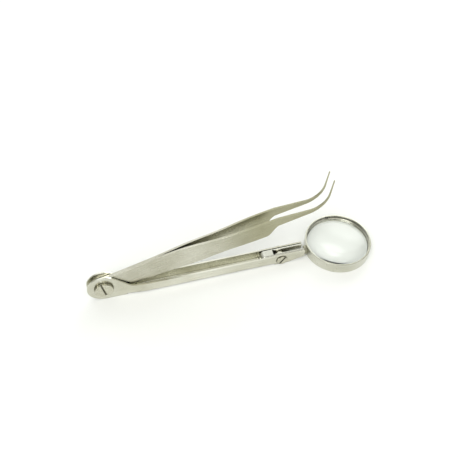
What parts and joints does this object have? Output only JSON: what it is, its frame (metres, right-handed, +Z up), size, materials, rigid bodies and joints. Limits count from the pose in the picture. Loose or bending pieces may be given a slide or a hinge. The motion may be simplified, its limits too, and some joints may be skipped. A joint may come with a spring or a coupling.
{
  "type": "magnifier tongs",
  "caption": "Curved fine-point stamp tongs with a sprung squeeze and a folding channel arm that carries a tilting lens.",
  "frame": {"origin": "middle of the footprint, on the surface that the arm and the lens ring lie on", "axes": "+X along the magnifier arm from the pivot to the lens, +Y along the pivot screw from its head to its nut, +Z up"},
  "size_m": [0.1374, 0.0322, 0.0507],
  "materials": {
    "legs": "satin-ground spring steel",
    "arm": "bright nickel-plated sheet steel",
    "saddle": "bright nickel-plated sheet steel",
    "screws": "turned, nickel-plated",
    "bronze": "rolled phosphor bronze",
    "spring": "oiled spring steel",
    "stem": "drawn wire, nickel-plated",
    "ring": "turned tube, nickel-plated",
    "glass": "polished lens"
  },
  "bodies": {
    "arm": {"magnifier_arm": "arm", "pivot_screw": "screws", "front_ear_washer": "bronze", "rear_ear_washer": "bronze", "lock_washer": "spring", "pivot_nut": "screws", "stem_saddle": "saddle", "tilt_screw": "screws", "front_tilt_washer": "bronze", "rear_tilt_washer": "bronze", "tilt_nut": "screws"},
    "tongs": {"front_tail": "legs", "rear_tail": "legs"},
    "front_leg": {"front_leg": "legs"},
    "rear_leg": {"rear_leg": "legs"},
    "lens_mount": {"lens_stem": "stem", "ring_lug": "stem", "lens_ring": "ring", "retaining_ring": "spring", "lens": "glass"}
  },
  "joints": [
    {"name": "tongs_swing", "type": "hinge", "parent": "arm", "child": "tongs", "pos_m": [-0.06123, 0, 0.0075], "axis": [0, -1, 0], "range_deg": [-5, 165]},
    {"name": "front_squeeze", "type": "hinge", "parent": "tongs", "child": "front_leg", "pos_m": [-0.03419, -0.00045, 0.01479], "axis": [-0.2605, 0, 0.9655], "range_deg": [0, 1.79], "stiffness_Nm_per_rad": 1.2},
    {"name": "rear_squeeze", "type": "hinge", "parent": "tongs", "child": "rear_leg", "pos_m": [-0.03419, 0.00045, 0.01479], "axis": [-0.2605, 0, 0.9655], "range_deg": [-1.79, 0], "stiffness_Nm_per_rad": 1.2},
    {"name": "lens_tilt", "type": "hinge", "parent": "arm", "child": "lens_mount", "pos_m": [0.02297, 0, 0.00275], "axis": [0, -1, 0], "range_deg": [-15, 45]}
  ],
  "couplings": [
    {"joint": "rear_squeeze", "follows": "front_squeeze", "ratio": -1}
  ]
}
